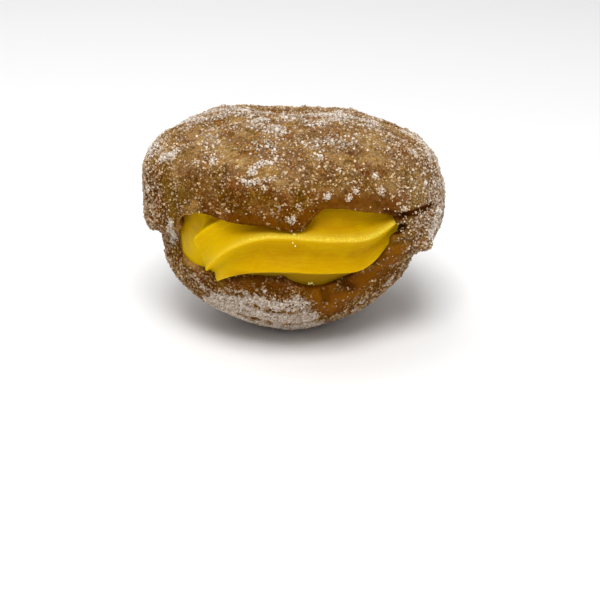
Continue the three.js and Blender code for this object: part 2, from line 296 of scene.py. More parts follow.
def slit_power(leftwards, upright):
    """How square the slit's end is: 2 is round, and its left end is squarer below than above."""
    left_power = np.interp(upright, (-1, 1), (SLIT["left_power_below"], SLIT["left_power_above"]))
    return np.where(leftwards, left_power, SLIT["right_power"])


# Keeps divisions away from 0
TINY = 1e-9


def slit_points(direction, grow=0):
    """The slit's wall in each direction of the unit sphere: upright slices that shrink towards its ends."""
    along, inward, upright = direction.T
    leftwards = along < 0
    level = np.maximum(np.hypot(inward, upright), TINY)
    inward = inward / level
    upright = upright / level
    share = np.sqrt(1 - np.minimum(np.abs(along), 1) ** slit_power(leftwards, upright))
    x = along * (np.where(leftwards, SLIT["left"], SLIT["right"]) + grow)
    y = SLIT["front_y"] + share * inward * (SLIT["reach"] + grow)
    z = slit_middle(x) + share * upright * (slit_height(x, upright > 0) + grow)
    return np.stack([x, y, z], axis=1)


def slit_share(points):
    """How far points lie from the slit's middle: 1 on its wall, less inside, more in the dough."""
    x, y, z = points.T
    leftwards = x < 0
    above = z - slit_middle(x)
    upward = above / slit_height(x, above > 0)
    inward = np.maximum(y - SLIT["front_y"], 0) / SLIT["reach"]
    upright = upward / np.maximum(np.hypot(inward, upward), TINY)
    across = np.abs(x) / np.where(leftwards, SLIT["left"], SLIT["right"])
    across **= slit_power(leftwards, upright) / 2
    return np.sqrt(across**2 + inward**2 + upward**2)


def tear_points(direction, tear):
    """The wall of a tear in each direction of the unit sphere."""
    along, inward, up = (direction * tear["half"]).T
    cosine = math.cos(tear["turn"])
    sine = math.sin(tear["turn"])
    turned = np.stack([along * cosine - inward * sine, along * sine + inward * cosine, up], axis=1)
    return turned + tear["place"]


def tear_share(points, tear):
    """How far points lie from a tear's middle: 1 on its wall, more in the dough."""
    x, y, z = (points - tear["place"]).T
    cosine = math.cos(tear["turn"])
    sine = math.sin(tear["turn"])
    local = np.stack([x * cosine + y * sine, y * cosine - x * sine, z], axis=1)
    return np.linalg.norm(local / tear["half"], axis=1)


def read_points(mesh, kind="co"):
    values = np.empty(len(mesh.vertices) * 3, np.float32)
    mesh.vertices.foreach_get(kind, values)
    return values.reshape(-1, 3).astype(float)


def write_points(mesh, points):
    mesh.vertices.foreach_set("co", (points * MM).astype(np.float32).ravel())
    mesh.update()


def paint(mesh, name, values):
    """Keeps a value for each point of a mesh, for materials and scattering to read."""
    mesh.attributes.new(name, "FLOAT", "POINT").data.foreach_set("value", values.astype(np.float32))


def place_object(name, data):
    made = bpy.data.objects.new(name, data)
    scene.collection.objects.link(made)
    return made


def ball_of(name, rule, columns, rows):
    """A closed ball whose points a rule sets by their direction from its middle."""
    shape = bmesh.new()
    bmesh.ops.create_uvsphere(shape, u_segments=columns, v_segments=rows, radius=1)
    mesh = bpy.data.meshes.new(name)
    shape.to_mesh(mesh)
    shape.free()
    write_points(mesh, rule(read_points(mesh)))
    return place_object(name, mesh)


def cut_or_join(obj, other, operation):
    step = obj.modifiers.new(operation.lower(), "BOOLEAN")
    step.operation = operation
    step.solver = "MANIFOLD"
    step.object = other


def settle(obj, scrap=()):
    """Turns an object's modifiers into a plain mesh and removes the objects that only shaped it."""
    shown = obj.evaluated_get(bpy.context.evaluated_depsgraph_get())
    mesh = bpy.data.meshes.new_from_object(shown)
    obj.modifiers.clear()
    obj.data = mesh
    for other in scrap:
        bpy.data.objects.remove(other)
    return mesh


def ripple(points, size, seed):
    """Smooth noise over points, about -0.5 to 0.5, with bumps of about that size."""
    return np.array([noise.noise(Vector(point) / size + Vector((seed, seed, seed))) for point in points])


def patchy(points, pattern):
    """Soft patches over points, from 0 to 1."""
    return smooth(pattern["middle"] + pattern["contrast"] * ripple(points, pattern["size"], pattern["seed"]))


def near_line(points, pixels, width, surface):
    """1 on a line drawn across the bun in the photograph, fading to 0 over the width."""
    corners = [seen_at(pixel, surface) for pixel in pixels]
    nearest = np.full(len(points), np.inf)
    for start, end in zip(corners, corners[1:] or corners):
        run = end - start
        share = np.clip((points - start) @ run / max(run @ run, TINY), 0, 1)
        away = np.linalg.norm(points - start - share[:, None] * run, axis=1)
        nearest = np.minimum(nearest, away)
    return np.exp(-((nearest / width) ** 2))


# The slit's rings run round its length: the ball's poles are turned from its top and bottom to its two ends
POLES_AT_ENDS = [2, 0, 1]
bun = ball_of("bun_dough", cap_points, columns=160, rows=90)
lower_half = ball_of("lower_half", bowl_points, columns=140, rows=80)
cuts = [ball_of("slit", lambda direction: slit_points(direction[:, POLES_AT_ENDS]), columns=120, rows=100)]
for tear in TEARS:
    cuts.append(ball_of("tear", lambda direction: tear_points(direction, tear), columns=40, rows=20))
cut_or_join(bun, lower_half, "UNION")
for cut in cuts:
    cut_or_join(bun, cut, "DIFFERENCE")
even_faces = bun.modifiers.new("even faces", "REMESH")
even_faces.mode = "VOXEL"
even_faces.voxel_size = DOUGH_GRAIN * MM
round_edges = bun.modifiers.new("round edges", "SMOOTH")
round_edges.iterations = LIP_ROUNDING
dough = settle(bun, [lower_half, *cuts])

# Painted shade in the crust's wrinkles, gaps, pockets and dimple and along the lower lip's edge: lines in the
# photograph, their widths and strengths
DARK_MARKS = [
    (WRINKLE, 1.2, 1),
    (RIGHT_GAP, 0.9, 1),
    (LIP_SHADE, 0.8, 1),
    (TIP_POCKET, 1, 1),
    (DARK_DIMPLE, 1.7, 0.8),
    (LOWER_EDGE, 0.8, 0.6),
]
# How far bare crumb shows beside the torn edge
FLAP_WIDTH = 1.3
# The crust's zones, from where each starts to where it is full: out from the middle, sideways, back or up
ZONES = dict(
    rim_out=(36, 46), rim_side=(26, 44), crown=(61, 68), low=(17, 5), cap=(26, 34), foot=(0, 3),
    off_table=(0.7, 2.2), back=(-25, -10), stray=(-10, 0), left_wall=(-27, -31), past_left_end=(-30, -24),
)
# Where dough turns to crust, lumpy crust, pale crumb and golden edge, in shares of the way to the slit's
# wall, and to the painted shade inside a tear, in shares of the way to the tear's wall
WALLS = dict(crust=(1, 1.06), lumps=(0.95, 1.2), crumb=(1.05, 1), golden=(1.04, 1), torn=(1.5, 1.15))
# How far above the slit's middle line its wall is golden, with painted glow of light from the cream through
# the upper lip's cut edge
GOLDEN_ABOVE_MIDDLE = 5
# Soft patches: the size of their bumps, their place in the pattern, and the pattern's middle and contrast
SUGAR_PATCHES = dict(size=9, seed=21, middle=0.5, contrast=1.7)
SUGAR_CLUSTERS = dict(size=1.9, seed=4, middle=0.45, contrast=1.9)
STRIP_BREAKS = dict(size=5, seed=19, middle=0.7, contrast=2.2)
FLAP_BREAKS = dict(size=1.2, seed=8, middle=0.8, contrast=1.2)
# How far the edges of sugar are ragged
RAGGED = dict(size=2.2, seed=13, by=0.55)
# Strips of sugar: how far they break up on the cap, how ragged they are on the bowl and the cap, the strength
# where raggedness sets in, where sugar starts, and how much further it is thick on the bowl and the cap
STRIP_EDGE = dict(broken=0.6, ragged=(0.6, 1.1), least=0.05, start=0.2, over=(0.45, 0.7))
# Heaps of sugar: how steep, ragged, narrow and high clumps are, how high strips are, and stray heaps behind
HEAP = dict(gain=1.5, ragged=1.6, less=0.35, most=1.1, strips=0.75)
STRAY = dict(size=6, seed=33, fine_size=1.9, fine_seed=7, fine=0.5, start=0.42, full=0.62)
# What each zone adds to the sugar's cover and to its whiteness, and what bares the crust of it. The whiteness
# added on the crown is partly painted light from above.
COVER = dict(
    everywhere=0.1, patches=0.2, clusters=0.5, between=0.35, rim=0.3, left_rim=0.5, crown=0.3, back=0.4
)
FROST = dict(strips=0.7, rim=0.6, crown=0.3, crown_patches=0.6, back=0.4, pale=0.15)
BARED = dict(oily=0.95, olive=0.75, torn=0.6, flap=0.85)
# The crust browned up to a wavering height and dims the crystals on it; it is paler at the right rim, partly
# as painted light on that side
BROWNING = dict(size=9, seed=17, waver=14, start=67.5, full=52.5, pale_right_rim_and_light=0.7, dims=0.25)

points = read_points(dough) / MM
normals = read_points(dough, "normal")
surface = BVHTree.FromObject(bun, bpy.context.evaluated_depsgraph_get())
cut_share = slit_share(points)
crust = ramp(cut_share, *WALLS["crust"])
lift = np.full(len(points), -SUGAR_ROOM)
for size, height, seed in CRUST_LUMPS:
    lift += height * ripple(points, size, seed)
lift *= ramp(cut_share, *WALLS["lumps"]) * ramp(points[:, 2], *ZONES["foot"])
for pixels, width, height in CRUST_FOLDS:
    lift += height * near_line(points, pixels, width, surface)
points += normals * lift[:, None]
write_points(dough, points)


def strongest(points, surface, lines):
    """The strongest of many marks at each point: lines in the photograph, their widths and strengths."""
    marks = [amount * near_line(points, pixels, width, surface) for pixels, width, amount in lines]
    return np.max(marks, axis=0)


def as_lines(spots):
    """Round marks as lines of one pixel."""
    return [([pixel], radius, amount) for pixel, radius, amount in spots]


# Sugar sticks in broad patches, and within them in clusters a few crystals wide with bare crust between
x, y, z = points.T
patches = patchy(points, SUGAR_PATCHES)
clusters = patchy(points, SUGAR_CLUSTERS)
ragged = RAGGED["by"] * ripple(points, RAGGED["size"], RAGGED["seed"])
rim = ramp(np.hypot(x, y), *ZONES["rim_out"]) * ramp(np.abs(x), *ZONES["rim_side"])
rim *= np.where(x < 0, COVER["left_rim"], 1)
crown = ramp(z, *ZONES["crown"])
on_cap = ramp(z, *ZONES["cap"])
back_rim = ramp(z, *ZONES["low"]) * ramp(y, *ZONES["back"])
oily = strongest(points, surface, OILY_STRIPS)
olive = strongest(points, surface, OLIVE_STRIPS)
thick = strongest(points, surface, SUGAR_STRIPS)
thick *= 1 - STRIP_EDGE["broken"] * on_cap * (1 - patchy(points, STRIP_BREAKS))
frayed = np.interp(on_cap, (0, 1), STRIP_EDGE["ragged"]) * ragged * (thick > STRIP_EDGE["least"])
thick = smooth((thick + frayed - STRIP_EDGE["start"]) / np.interp(on_cap, (0, 1), STRIP_EDGE["over"]))
clumps = strongest(points, surface, CLUMP_LINES + as_lines(SUGAR_CLUMPS))
clumps = np.clip(HEAP["gain"] * clumps * (1 + HEAP["ragged"] * ragged) - HEAP["less"], 0, HEAP["most"])
stray = ripple(points, STRAY["size"], STRAY["seed"])
stray += STRAY["fine"] * ripple(points, STRAY["fine_size"], STRAY["fine_seed"])
stray = ramp(stray, STRAY["start"], STRAY["full"]) * ramp(y, *ZONES["stray"])
heap = np.max([clumps, HEAP["strips"] * thick**2, stray], axis=0)
sugar = COVER["everywhere"] + COVER["patches"] * patches
sugar += COVER["clusters"] * clusters * np.interp(patches, (0, 1), (COVER["between"], 1))
sugar += COVER["rim"] * rim + COVER["crown"] * crown * patches + COVER["back"] * back_rim
sugar = np.maximum(sugar, thick) * (1 - BARED["oily"] * oily) * (1 - BARED["olive"] * olive)
sugar = np.clip(sugar, 0, 1)
frost = heap + FROST["strips"] * thick + FROST["rim"] * rim + FROST["back"] * back_rim
# Whiter on the crown, partly as painted light from above
frost += (FROST["crown"] + FROST["crown_patches"] * patches) * crown
waver = BROWNING["waver"] * ripple(points, BROWNING["size"], BROWNING["seed"])
browned = ramp(z - waver, BROWNING["start"], BROWNING["full"])
browned *= 1 - strongest(points, surface, as_lines(PALE_SPOTS))
# Paler at the right rim, partly as painted light on that side
browned *= 1 - BROWNING["pale_right_rim_and_light"] * rim * (x > 0)
# Painted shade inside the tears and along the dark marks
tears = [ramp(tear_share(points, tear), *WALLS["torn"]) for tear in TEARS]
torn = np.max([strongest(points, surface, DARK_MARKS), *tears], axis=0)
flap = near_line(points, FLAP, FLAP_WIDTH, surface) * patchy(points, FLAP_BREAKS)
past_left_end = ramp(x, *ZONES["past_left_end"])
left_wall = ramp(cut_share, *WALLS["crumb"]) * ramp(x, *ZONES["left_wall"])
# The upper lip's cut edge is golden: oil-soaked dough, with painted glow of light from the cream
cut_edge_with_glow = ramp(cut_share, *WALLS["golden"]) * past_left_end * (z > slit_middle(x) + GOLDEN_ABOVE_MIDDLE)
takes_sugar = crust * ramp(z, *ZONES["off_table"])
paint(dough, "oily", np.maximum(oily * crust, (1 - crust) * past_left_end))
paint(dough, "browned", browned)
paint(dough, "olive", olive)
paint(dough, "crumb", np.maximum(left_wall, flap))
paint(dough, "torn", torn)
paint(dough, "golden", np.maximum(cut_edge_with_glow, strongest(points, surface, GOLDEN_STRIPS)))
paint(dough, "sugar", sugar * takes_sugar * (1 - BARED["torn"] * torn) * (1 - BARED["flap"] * flap))
paint(dough, "frost", np.clip(np.clip(frost, 0, 1) + FROST["pale"] * (1 - browned), 0, 1))
paint(dough, "clear", 1 - BROWNING["dims"] * browned)
paint(dough, "heap", heap * takes_sugar)
dough.shade_smooth()


def add_node(tree, kind, inputs=None, **settings):
    """Adds a node, sets its options, and sets or links its inputs."""
    made = tree.nodes.new(kind)
    for name, value in settings.items():
        setattr(made, name, value)
    for key, value in (inputs or {}).items():
        if isinstance(value, bpy.types.NodeSocket):
            tree.links.new(value, made.inputs[key])
        else:
            made.inputs[key].default_value = value
    return made


def calculate(tree, operation, first, second=0.0):
    return add_node(tree, "ShaderNodeMath", {0: first, 1: second}, operation=operation).outputs[0]


def mix_colour(tree, share, first, second):
    """A colour between two others. The node keeps its sockets for colours after those for other kinds."""
    return add_node(tree, "ShaderNodeMix", {0: share, 6: first, 7: second}, data_type="RGBA").outputs[2]


def colour(red, green, blue):
    """A colour that a screen shows with these values from 0 to 255."""
    shares = np.array([red, green, blue]) / 255
    linear = np.where(shares < 0.04045, shares / 12.92, ((shares + 0.055) / 1.055) ** 2.4)
    return (*linear.tolist(), 1)


def painted(tree, name):
    return add_node(tree, "ShaderNodeAttribute", attribute_name=name).outputs["Fac"]


def between(tree, value, start, end, most=1.0):
    """Rises evenly from 0 where a value is at the start to the most where it is at the end."""
    limits = {"Value": value, "From Min": start, "From Max": end, "To Max": most}
    return add_node(tree, "ShaderNodeMapRange", limits).outputs["Result"]


def tint(tree, tone, mask, strength, shade):
    """Turns a tone towards a shade where a mask says so, by the strength at most."""
    return mix_colour(tree, calculate(tree, "MULTIPLY", mask, strength), tone, colour(*shade))


def blank_material(name):
    material = bpy.data.materials.new(name)
    material.use_nodes = True
    tree = material.node_tree
    return material, tree, tree.nodes["Principled BSDF"]


def shader_group(name, values, results, kind="Float"):
    """An empty shader group that takes a place and named values, and puts out named results of a kind."""
    group = bpy.data.node_groups.new(name, "ShaderNodeTree")
    group.interface.new_socket("Place", in_out="INPUT", socket_type="NodeSocketVector")
    for label, value in values.items():
        socket = group.interface.new_socket(label, in_out="INPUT", socket_type="NodeSocketFloat")
        socket.default_value = value
    for label in results:
        group.interface.new_socket(label, in_out="OUTPUT", socket_type="NodeSocket" + kind)
    given = group.nodes.new("NodeGroupInput").outputs
    result = group.nodes.new("NodeGroupOutput").inputs
    return group, given, result


def make_mottling():
    """A shader group of soft blotches: their size in metres and the noise levels where they start and end."""
    values = {"Size": 0.01, "Start": 0.4, "End": 0.6, "Detail": 3.0}
    group, given, result = shader_group("mottling", values, ["Mask"])
    scale = calculate(group, "DIVIDE", 1.0, given["Size"])
    pattern = {"Vector": given["Place"], "Scale": scale, "Detail": given["Detail"]}
    level = add_node(group, "ShaderNodeTexNoise", pattern).outputs["Fac"]
    limits = {"Value": level, "From Min": given["Start"], "From Max": given["End"]}
    mask = add_node(group, "ShaderNodeMapRange", limits, interpolation_type="SMOOTHSTEP").outputs["Result"]
    group.links.new(mask, result["Mask"])
    return group


mottling = make_mottling()


def blotches(tree, place, size, start, end, detail):
    sockets = {"Place": place, "Size": size * MM, "Start": start, "End": end, "Detail": detail}
    return add_node(tree, "ShaderNodeGroup", sockets, node_tree=mottling).outputs["Mask"]


# How far from its middle a grain's round form ends and is full, in widths of a grain
GRAIN_EDGE = (0.62, 0.28)


def make_grains():
    """A shader group of packed grains of a size in metres: which are picked, their tints and round forms."""
    group, given, result = shader_group("grains", {"Size": 0.001, "Share": 0.3}, ["Mask", "Tint", "Bead"])
    scale = calculate(group, "DIVIDE", 1.0, given["Size"])
    cells = add_node(group, "ShaderNodeTexVoronoi", {"Vector": given["Place"], "Scale": scale}).outputs
    drawn = add_node(group, "ShaderNodeSeparateColor", {"Color": cells["Color"]}).outputs
    left_out = calculate(group, "SUBTRACT", 1.0, given["Share"])
    group.links.new(calculate(group, "GREATER_THAN", drawn["Red"], left_out), result["Mask"])
    group.links.new(drawn["Green"], result["Tint"])
    group.links.new(between(group, cells["Distance"], *GRAIN_EDGE), result["Bead"])
    return group


grains = make_grains()


def add_grains(tree, place, size, share):
    sockets = {"Place": place, "Size": size * MM, "Share": share}
    return add_node(tree, "ShaderNodeGroup", sockets, node_tree=grains).outputs


# Patches in the crust's colour: their size, the noise levels where they start and end, and their detail
CRUST_PATCHES = dict(
    golden=(9, 0.4, 0.62, 3), olive=(5, 0.5, 0.64, 4), ruddy=(6, 0.52, 0.66, 5), flecks=(1.4, 0.45, 0.7, 3),
    lights=(2, 0.5, 0.66, 5),
)
# The crust that browned less or more, from plain to golden, and the shades over it with their strengths
PALE_CRUST = (colour(138, 104, 70), colour(178, 143, 92))
BROWN_CRUST = (colour(78, 42, 0), colour(108, 62, 2))
CRUST_SHADES = dict(
    olive=(0.6, (106, 79, 2)), ruddy=(0.7, (114, 60, 26)), oily=(0.8, (104, 57, 0)),
    flecks=(0.6, (64, 32, 0)), lights=(0.5, (158, 112, 52)), bare_folds=(0.75, (113, 84, 26)),
)


def make_fried_tone():
    """A shader group of the crust's own colours: paler or browned, with golden, olive and ruddy patches."""
    values = {"Browned": 0.0, "Oily": 0.0, "Olive": 0.0}
    group, given, result = shader_group("fried_tone", values, ["Color"], "Color")
    masks = {name: blotches(group, given["Place"], *shape) for name, shape in CRUST_PATCHES.items()}
    pale_crust = mix_colour(group, masks["golden"], *PALE_CRUST)
    brown_crust = mix_colour(group, masks["golden"], *BROWN_CRUST)
    tone = mix_colour(group, given["Browned"], pale_crust, brown_crust)
    dry = calculate(group, "SUBTRACT", 1.0, given["Oily"])
    masks["oily"] = given["Oily"]
    masks["lights"] = calculate(group, "MULTIPLY", masks["lights"], dry)
    masks["bare_folds"] = given["Olive"]
    for name, (strength, shade) in CRUST_SHADES.items():
        tone = tint(group, tone, masks[name], strength, shade)
    group.links.new(tone, result["Color"])
    return group


fried_tone = make_fried_tone()


def crust_tone(tree, place):
    sockets = {"Place": place}
    for name in ("Browned", "Oily", "Olive"):
        sockets[name] = painted(tree, name.lower())
    return add_node(tree, "ShaderNodeGroup", sockets, node_tree=fried_tone).outputs["Color"]


# The crust's grain: its size and share, how much of it turns to the colour of soaked sugar on bare crust and
# more where it is sugared, how rare the brightest grains are, and how dark the painted shade in the gaps
# between them is
CRUST_GRAIN = dict(size=0.6, share=0.75)
DUST = dict(crust=0.4, sugared=0.55, rare=1.5, painted_gap_shade=0.28)
DUST_SHADES = dict(grains=(216, 166, 92), painted_gap_shade=(48, 22, 0))
# Bare dough over that, as painted, each with its strength and colour: golden dough, partly painted glow on
# the upper lip's cut edge; pale crumb; and painted shade in tears, crevices and pockets
BARE_DOUGH = dict(golden=(1.0, (138, 82, 5)), crumb=(0.8, (186, 142, 78)), torn=(1.0, (58, 25, 0)))
# The shine of dry and oily crust, its pores as patches, and how strong and high its relief is
CRUST_GLOSS = dict(specular=0.01, dry_roughness=0.72, oily_less=-0.3)
PORES = (0.8, 0.3, 0.7, 4)
CRUST_RELIEF = dict(strength=0.7, height=0.3, bare_grains=0.4)


def make_crust():
    """Fried crust: brown, golden where it was less in the oil, darker and shining where it is oily, with
    painted shade in its crevices and between its grains.
    """
    material, tree, shader = blank_material("fried_crust")
    place = add_node(tree, "ShaderNodeTexCoord").outputs["Object"]

    def times(first, second):
        return calculate(tree, "MULTIPLY", first, second)

    sugared = painted(tree, "sugar")
    oily = painted(tree, "oily")
    dry = calculate(tree, "SUBTRACT", 1.0, oily)
    grain = add_grains(tree, place, **CRUST_GRAIN)
    coated = calculate(tree, "ADD", times(dry, DUST["crust"]), times(sugared, DUST["sugared"]))
    dusty = times(calculate(tree, "POWER", grain["Tint"], DUST["rare"]), coated)
    dusty = times(dusty, times(grain["Mask"], grain["Bead"]))
    # Painted shade in the gaps between the grains, on dry crust
    painted_gap_shade = times(calculate(tree, "SUBTRACT", 1.0, grain["Bead"]), dry)
    tone = tint(tree, crust_tone(tree, place), dusty, 1.0, DUST_SHADES["grains"])
    tone = tint(tree, tone, painted_gap_shade, DUST["painted_gap_shade"], DUST_SHADES["painted_gap_shade"])
    for name, (strength, shade) in BARE_DOUGH.items():
        tone = tint(tree, tone, painted(tree, name), strength, shade)
    tree.links.new(tone, shader.inputs["Base Color"])
    shader.inputs["Specular IOR Level"].default_value = CRUST_GLOSS["specular"]
    shine = times(oily, CRUST_GLOSS["oily_less"])
    roughness = calculate(tree, "ADD", shine, CRUST_GLOSS["dry_roughness"])
    tree.links.new(roughness, shader.inputs["Roughness"])
    beads = times(grain["Bead"], calculate(tree, "ADD", sugared, CRUST_RELIEF["bare_grains"]))
    relief = calculate(tree, "ADD", blotches(tree, place, *PORES), times(beads, dry))
    depth = {"Strength": CRUST_RELIEF["strength"], "Distance": CRUST_RELIEF["height"] * MM, "Height": relief}
    tree.links.new(add_node(tree, "ShaderNodeBump", depth).outputs["Normal"], shader.inputs["Normal"])
    return material


dough.materials.clear()
dough.materials.append(make_crust())
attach(bun, "root")
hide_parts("bun")

# The cream. Thick yellow egg cream is pressed through a star nozzle along the mouth of the slit, from a torn
# left end to a leaf tip on the right, and more of it fills the slit behind that rope.

# The rope's arc, how its left end drops and winds and its right end leans, thins and lifts into a tip, the
# star's crests and flutes, and how the front crest tucks in and bunches at the left end
ROPE = dict(
    arc_radius=32.6, left_angle=math.radians(-41.3), right_angle=math.radians(47.5), height=38.1,
    left_drop=2.3, tip_lift=7.6, tip_lift_power=2.4, tip_out=8.6, tip_out_power=4, crests=8,
    crest_radius=13.9, flute_depth=2.8, crest_angle=math.radians(24), left_twist_end=0.42,
    left_twist_power=2.35, left_twist=math.radians(-53), right_lean_start=0.46,
    right_lean=math.radians(-19), taper_start=0.71, tip_share=0.1, tuck=0.15, tuck_end=0.12,
    bunch=math.radians(16), bunch_end=0.36, bunch_power=1.5, front_width=0.45,
)
ROPE_LENGTHS = ("arc_radius", "height", "left_drop", "tip_lift", "tip_out", "crest_radius", "flute_depth")
ROPE_STEPS = 200
STAR_STEPS = 28
CREST_BLUNTNESS = 0.012


def make_rope_tree():
    """Geometry nodes that sweep the nozzle's star along an arc, turning and thinning it on the way."""
    tree = bpy.data.node_groups.new("piped_rope", "GeometryNodeTree")
    tree.interface.new_socket("Rope", in_out="OUTPUT", socket_type="NodeSocketGeometry")
    for name in ROPE:
        tree.interface.new_socket(name, in_out="INPUT", socket_type="NodeSocketFloat")
    tree.interface.new_socket("Finish", in_out="INPUT", socket_type="NodeSocketMaterial")
    given = tree.nodes.new("NodeGroupInput").outputs

    def times(first, second):
        return calculate(tree, "MULTIPLY", first, second)

    def plus(first, second):
        return calculate(tree, "ADD", first, second)

    def less(first, second):
        return calculate(tree, "SUBTRACT", first, second)

    def power(value, exponent):
        return calculate(tree, "POWER", value, exponent)

    def vector(x, y, z=0.0):
        return add_node(tree, "ShaderNodeCombineXYZ", {"X": x, "Y": y, "Z": z}).outputs[0]

    def store(geometry, name, value):
        sockets = {"Geometry": geometry, "Name": name, "Value": value}
        return add_node(tree, "GeometryNodeStoreNamedAttribute", sockets).outputs[0]

    def stored(name):
        return add_node(tree, "GeometryNodeInputNamedAttribute", {"Name": name}).outputs[0]

    # The nozzle's star is a circle that is drawn in between its crests
    round_shape = {"Resolution": ROPE["crests"] * STAR_STEPS, "Radius": given["crest_radius"]}
    circle = add_node(tree, "GeometryNodeCurvePrimitiveCircle", round_shape).outputs[0]
    spot = add_node(tree, "GeometryNodeInputPosition").outputs[0]
    axes = add_node(tree, "ShaderNodeSeparateXYZ", {0: spot}).outputs
    around = calculate(tree, "ARCTAN2", axes["Y"], axes["X"])
    wave = calculate(tree, "SINE", times(times(given["crests"], 0.5), around))
    crest = less(1.0, calculate(tree, "ABSOLUTE", wave))
    blunt = calculate(tree, "SQRT", plus(times(wave, wave), CREST_BLUNTNESS))
    dip = calculate(tree, "DIVIDE", times(blunt, given["flute_depth"]), given["crest_radius"])
    drawn_in = add_node(tree, "ShaderNodeVectorMath", {0: spot, "Scale": less(1.0, dip)}, operation="SCALE")
    star = store(store(circle, "around", around), "crest", crest)
    fluted = {"Geometry": star, "Position": drawn_in.outputs[0]}
    star = add_node(tree, "GeometryNodeSetPosition", fluted).outputs[0]

    # The arc that the star follows, with its turn and thickness on the way
    sweep = less(given["right_angle"], given["left_angle"])
    first_angle = less(given["left_angle"], math.pi / 2)
    span = {"Resolution": ROPE_STEPS, "Radius": given["arc_radius"], "Start Angle": first_angle}
    arc = add_node(tree, "GeometryNodeCurveArc", {**span, "Sweep Angle": sweep}).outputs["Curve"]
    arc = store(arc, "along", add_node(tree, "GeometryNodeSplineParameter").outputs["Factor"])
    along = stored("along")
    winding = power(between(tree, along, given["left_twist_end"], 0.0), given["left_twist_power"])
    leaning = between(tree, along, given["right_lean_start"], 1.0)
    taper = between(tree, along, given["taper_start"], 1.0)
    turn = plus(times(winding, given["left_twist"]), times(leaning, given["right_lean"]))
    turn = plus(turn, given["crest_angle"])
    arc = add_node(tree, "GeometryNodeSetCurveNormal", {"Curve": arc}, mode="Z_UP").outputs[0]
    arc = add_node(tree, "GeometryNodeSetCurveTilt", {"Curve": arc, "Tilt": times(turn, -1.0)}).outputs[0]
    full = calculate(tree, "SQRT", less(1.0, times(taper, taper)))
    thickness = plus(times(full, less(1.0, given["tip_share"])), given["tip_share"])
    swept = {"Curve": arc, "Profile Curve": star, "Scale": thickness, "Fill Caps": True}
    rope = add_node(tree, "GeometryNodeCurveToMesh", swept).outputs[0]

    # The front crest is tucked in and bunched at the left end, and the rope is lifted to its height
    bearing = plus(times(along, sweep), given["left_angle"])
    east = calculate(tree, "SINE", bearing)
    north = calculate(tree, "COSINE", bearing)
    front = times(north, -1.0)
    axis_spot = vector(times(given["arc_radius"], east), times(given["arc_radius"], front))
    from_crest = calculate(tree, "DIVIDE", stored("around"), given["front_width"])
    at_front = calculate(tree, "EXPONENT", times(times(from_crest, from_crest), -1.0))
    tuck = times(times(given["tuck"], between(tree, along, given["tuck_end"], 0.0)), at_front)
    tucked = add_node(tree, "ShaderNodeMix", {0: tuck, 4: spot, 5: axis_spot}, data_type="VECTOR").outputs[1]
    bunching = power(between(tree, along, given["bunch_end"], 0.0), given["bunch_power"])
    bend = {"Vector": tucked, "Center": axis_spot, "Axis": vector(north, east)}
    bend["Angle"] = times(times(given["bunch"], bunching), at_front)
    bunched = add_node(tree, "ShaderNodeVectorRotate", bend, rotation_type="AXIS_ANGLE").outputs[0]
    lift = less(given["height"], times(given["left_drop"], winding))
    lift = plus(lift, times(given["tip_lift"], power(taper, given["tip_lift_power"])))
    out = times(given["tip_out"], power(taper, given["tip_out_power"]))
    offset = vector(times(out, east), times(out, front), lift)
    moved = {"Geometry": rope, "Position": bunched, "Offset": offset}
    rope = add_node(tree, "GeometryNodeSetPosition", moved).outputs[0]
    rope = add_node(tree, "GeometryNodeRealizeInstances", {"Geometry": rope}).outputs[0]
    coated = {"Geometry": rope, "Material": given["Finish"]}
    rope = add_node(tree, "GeometryNodeSetMaterial", coated).outputs[0]
    tree.links.new(rope, tree.nodes.new("NodeGroupOutput").inputs["Rope"])
    return tree


def set_inputs(modifier, values):
    """Sets a geometry nodes modifier's inputs, found by the names of the tree's sockets."""
    for socket in modifier.node_group.interface.items_tree:
        if socket.in_out == "INPUT" and socket.name in values:
            modifier[socket.identifier] = values[socket.name]


# Lines that the nozzle drags along the rope, as many to a radian of the star and along it, and paler patches
DRAG_LINES = dict(across=30, along=9, detail=3.0)
CREAM_PATCHES = (6, 0.35, 0.7, 3)
# Where parts of the rope begin and are full: in shares along it, or in radians around its star. The
# underside is where painted shade goes
CREAM_PARTS = dict(
    left_end=(0.3, 0.1), past_left_end=(0.04, 0.3), upper_crests=(0.5, 0.2), underside=(0.8, 0.95)
)
# Where the upper side of a crest starts and is full on the wave of the crests, how narrow the painted
# highlight on it is, and which drag lines show as lighter streaks, with their strength last
UPPER_SIDE = (0.3, -0.4)
HIGHLIGHT_SHARPNESS = 2.0
STREAKS = (0.55, 0.8, 0.4)
SPECKLE = dict(size=0.4, share=1, rare=3.0, dark=0.12)
# Tones laid over each other in the order in which the masks below are listed, from the deep yellow up. The
# crest tone leaves the deep yellow in the flutes, partly as painted shade there
CREAM_TONES = dict(
    deep=(182, 135, 0), pale=(193, 151, 0), crest=(201, 161, 0), left_end=(212, 172, 0), painted_highlight=(236, 220, 84),
    speckle=(150, 104, 0), streaks=(216, 186, 20), underside=(146, 108, 6), thin_cream_and_shade=(132, 100, 8),
    smear_and_painted_light=(182, 150, 54),
)
CREAM_GLOSS = dict(roughness=0.38, specular=0.025)
CREAM_GLOW = dict(weight=0.7, radius=(0.8, 0.5, 0.05), scale=4)
CREAM_RELIEF = dict(strength=0.6, height=0.5)


